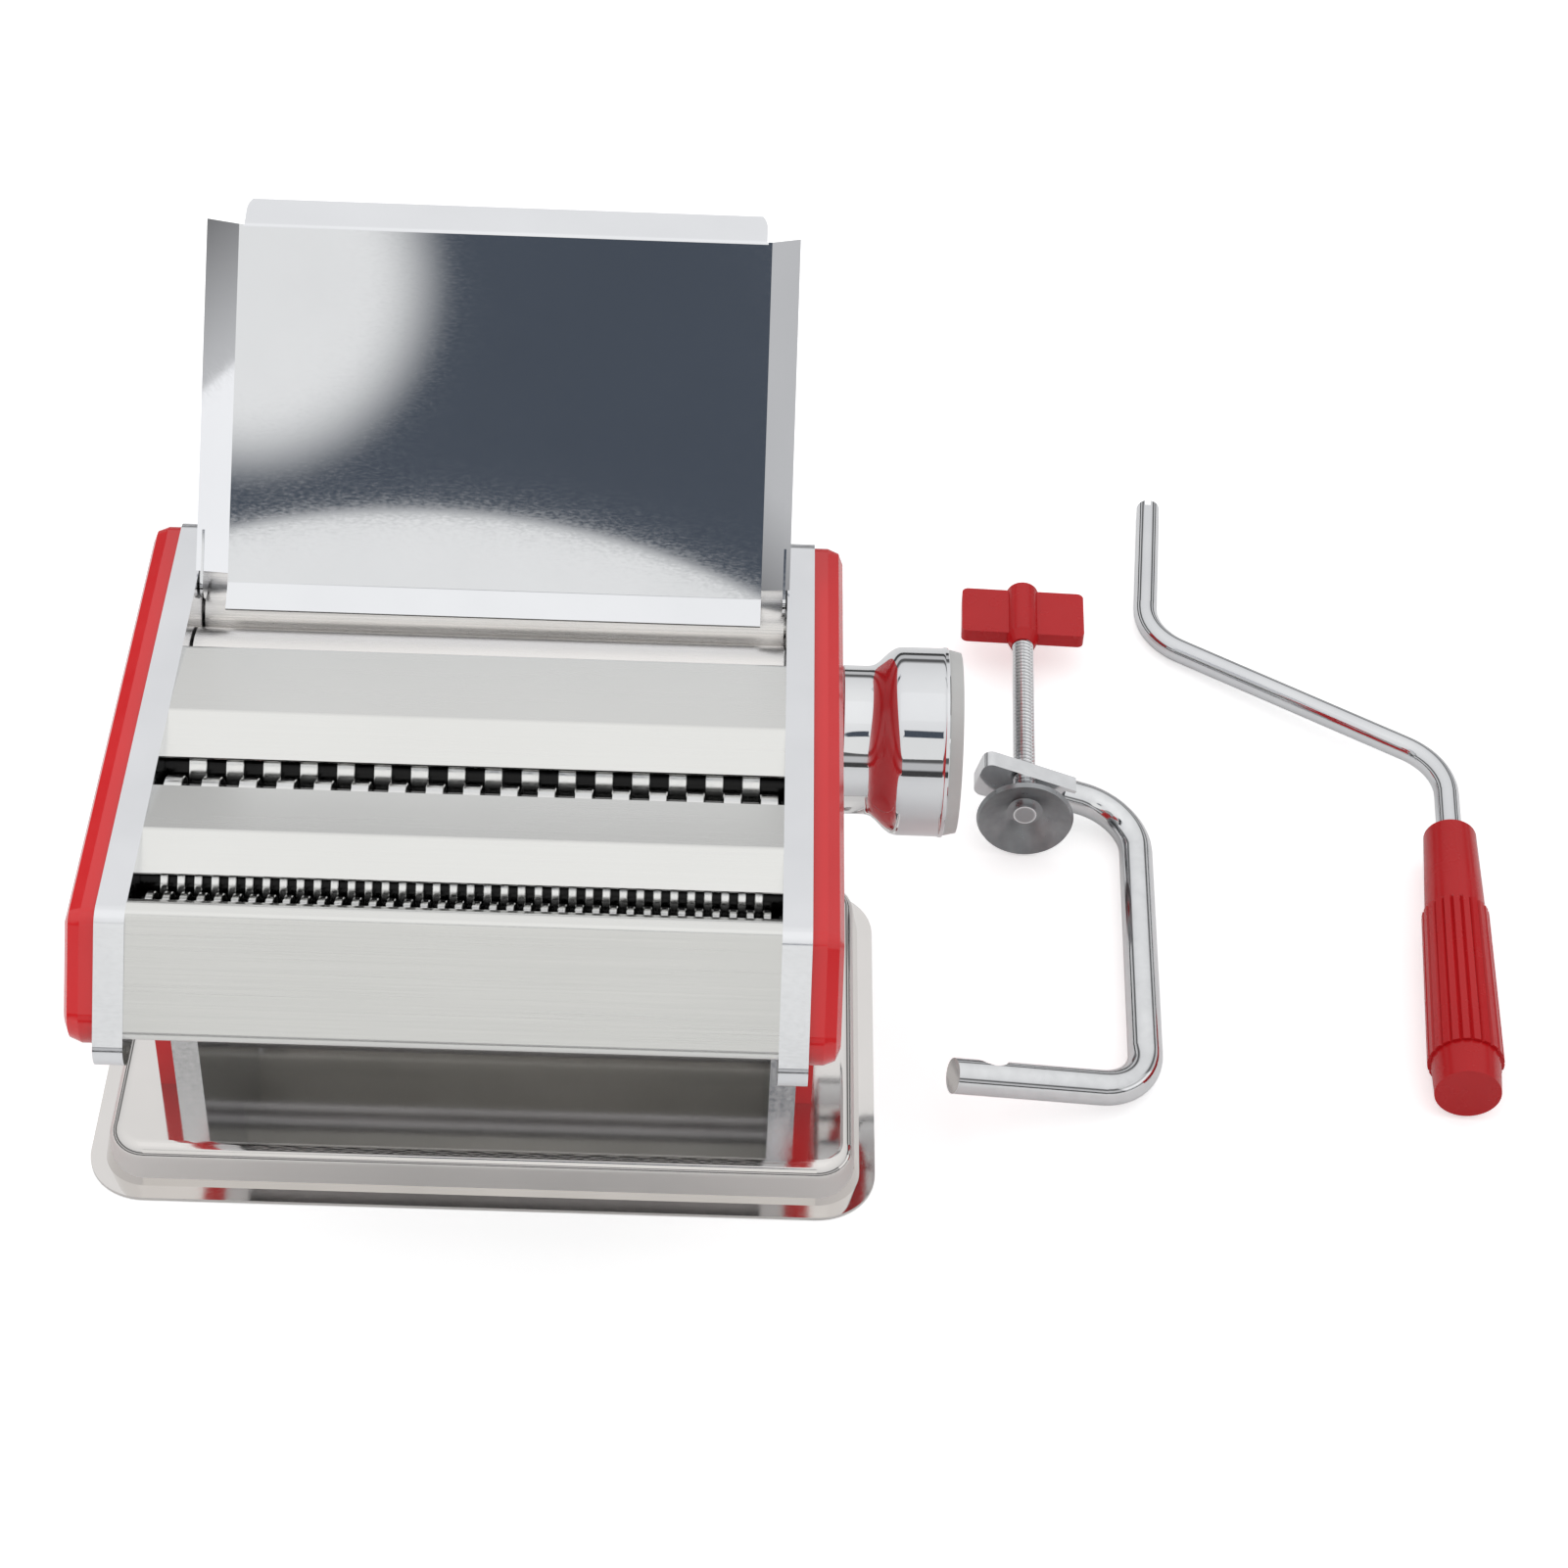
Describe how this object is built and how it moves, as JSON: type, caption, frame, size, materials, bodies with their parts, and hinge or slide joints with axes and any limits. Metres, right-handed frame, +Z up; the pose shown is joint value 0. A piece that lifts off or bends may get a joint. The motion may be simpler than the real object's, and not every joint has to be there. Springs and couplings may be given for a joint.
{
  "type": "pasta roller machine",
  "caption": "Hand-cranked pasta machine with smooth sheet rollers, wide and narrow noodle cutters, a thickness dial, a feed tray and a pressed base, with its loose crank and table clamp.",
  "frame": {"origin": "middle of the base tray on the table, under the machine", "axes": "+Z up, +X towards the dial, -Y towards the front, where the cutters are"},
  "size_m": [0.387, 0.3519, 0.2031],
  "materials": {
    "polished_steel": "polished stainless steel",
    "trim_steel": "satin stainless steel",
    "satin_panel": "satin stainless steel",
    "red_cover": "gloss red",
    "plain_steel": "plain steel",
    "white_plastic": "natural moulded plastic",
    "satin_roller": "satin",
    "cutter_chrome": "chromed",
    "bright_chrome": "mirror chrome",
    "grey_plastic": "matte grey",
    "red_handle": "gloss red",
    "zinc_plate": "bright zinc plate"
  },
  "bodies": {
    "machine": {"base_tray": "polished_steel", "left_side_plate": "trim_steel", "right_side_plate": "trim_steel", "left_cover": "red_cover", "right_cover": "red_cover", "tie_bars": "plain_steel", "upper_panel": "satin_panel", "middle_panel": "satin_panel", "front_panel": "satin_panel", "rear_panel": "satin_panel", "rear_scraper": "white_plastic", "front_scraper": "white_plastic"},
    "drive_roller": {"drive_roller": "satin_roller", "drive_gear": "white_plastic"},
    "carriage": {"carrier_shaft": "plain_steel", "left_carrier": "plain_steel", "right_carrier": "plain_steel"},
    "adjustable_roller": {"adjustable_roller": "satin_roller", "adjustable_gear": "white_plastic"},
    "adjuster": {"adjuster_shaft": "plain_steel"},
    "dial": {"dial_knob": "bright_chrome", "dial_ring": "grey_plastic"},
    "wide_front": {"wide_cutter_front": "cutter_chrome", "wide_gear_front": "white_plastic"},
    "wide_rear": {"wide_cutter_rear": "cutter_chrome", "wide_gear_rear": "white_plastic"},
    "narrow_front": {"narrow_cutter_front": "cutter_chrome", "narrow_gear_front": "white_plastic"},
    "narrow_rear": {"narrow_cutter_rear": "cutter_chrome", "narrow_gear_rear": "white_plastic"},
    "hopper": {"hopper": "polished_steel"},
    "crank": {"crank_rod": "bright_chrome"},
    "grip": {"crank_grip": "red_handle"},
    "clamp_frame": {"clamp_frame": "zinc_plate"},
    "clamp_cup": {"clamp_cup": "zinc_plate"},
    "clamp_screw": {"clamp_screw": "zinc_plate", "clamp_wing": "red_handle"}
  },
  "joints": [
    {"name": "drive_roller_spin", "type": "hinge", "parent": "machine", "child": "drive_roller", "pos_m": [0, 0.0452, 0.115], "axis": [1, 0, 0], "continuous": true},
    {"name": "dial_turn", "type": "hinge", "parent": "machine", "child": "adjuster", "pos_m": [0, 0.0248, 0.094], "axis": [1, 0, 0], "range_deg": [0, 270]},
    {"name": "gap_swing", "type": "hinge", "parent": "machine", "child": "carriage", "pos_m": [0, 0.0172, 0.081], "axis": [-1, 0, 0], "range_deg": [0, 2.9]},
    {"name": "adjustable_roller_spin", "type": "hinge", "parent": "carriage", "child": "adjustable_roller", "pos_m": [0, 0.0172, 0.115], "axis": [1, 0, 0], "continuous": true},
    {"name": "dial_pull", "type": "slide", "parent": "adjuster", "child": "dial", "axis": [1, 0, 0], "range_m": [0, 0.004], "stiffness_N_per_m": 300, "springref_m": -0.005},
    {"name": "wide_front_spin", "type": "hinge", "parent": "machine", "child": "wide_front", "pos_m": [0, -0.0407, 0.122], "axis": [1, 0, 0], "continuous": true},
    {"name": "wide_rear_spin", "type": "hinge", "parent": "machine", "child": "wide_rear", "pos_m": [0, -0.0233, 0.122], "axis": [1, 0, 0], "continuous": true},
    {"name": "narrow_front_spin", "type": "hinge", "parent": "machine", "child": "narrow_front", "pos_m": [0, -0.0804, 0.122], "axis": [1, 0, 0], "continuous": true},
    {"name": "narrow_rear_spin", "type": "hinge", "parent": "machine", "child": "narrow_rear", "pos_m": [0, -0.063, 0.122], "axis": [1, 0, 0], "continuous": true},
    {"name": "hopper_lift", "type": "slide", "parent": "machine", "child": "hopper", "axis": [0, 0.682, 0.7314], "range_m": [0, 0.04]},
    {"name": "crank_lift", "type": "slide", "parent": "machine", "child": "crank", "axis": [0, 0, 1], "range_m": [0, 0.05]},
    {"name": "grip_spin", "type": "hinge", "parent": "crank", "child": "grip", "pos_m": [0.266, -0.0184, 0.0105], "axis": [0.0872, 0.9962, 0], "continuous": true},
    {"name": "clamp_lift", "type": "slide", "parent": "machine", "child": "clamp_frame", "axis": [0, 0, 1], "range_m": [0, 0.05]},
    {"name": "cup_slide", "type": "slide", "parent": "clamp_frame", "child": "clamp_cup", "axis": [-0.0349, -0.9994, 0], "range_m": [0, 0.0451]},
    {"name": "screw_turn", "type": "hinge", "parent": "clamp_cup", "child": "clamp_screw", "pos_m": [0.1492, 0.084, 0.0142], "axis": [-0.0349, -0.9994, 0], "range_deg": [0, 10800]}
  ],
  "couplings": [
    {"joint": "adjustable_roller_spin", "follows": "drive_roller_spin", "ratio": -1},
    {"joint": "gap_swing", "follows": "dial_turn", "ratio": 0.01061},
    {"joint": "wide_rear_spin", "follows": "wide_front_spin", "ratio": -1},
    {"joint": "narrow_rear_spin", "follows": "narrow_front_spin", "ratio": -1},
    {"joint": "cup_slide", "follows": "screw_turn", "m_per_rad": 0.00023873}
  ]
}
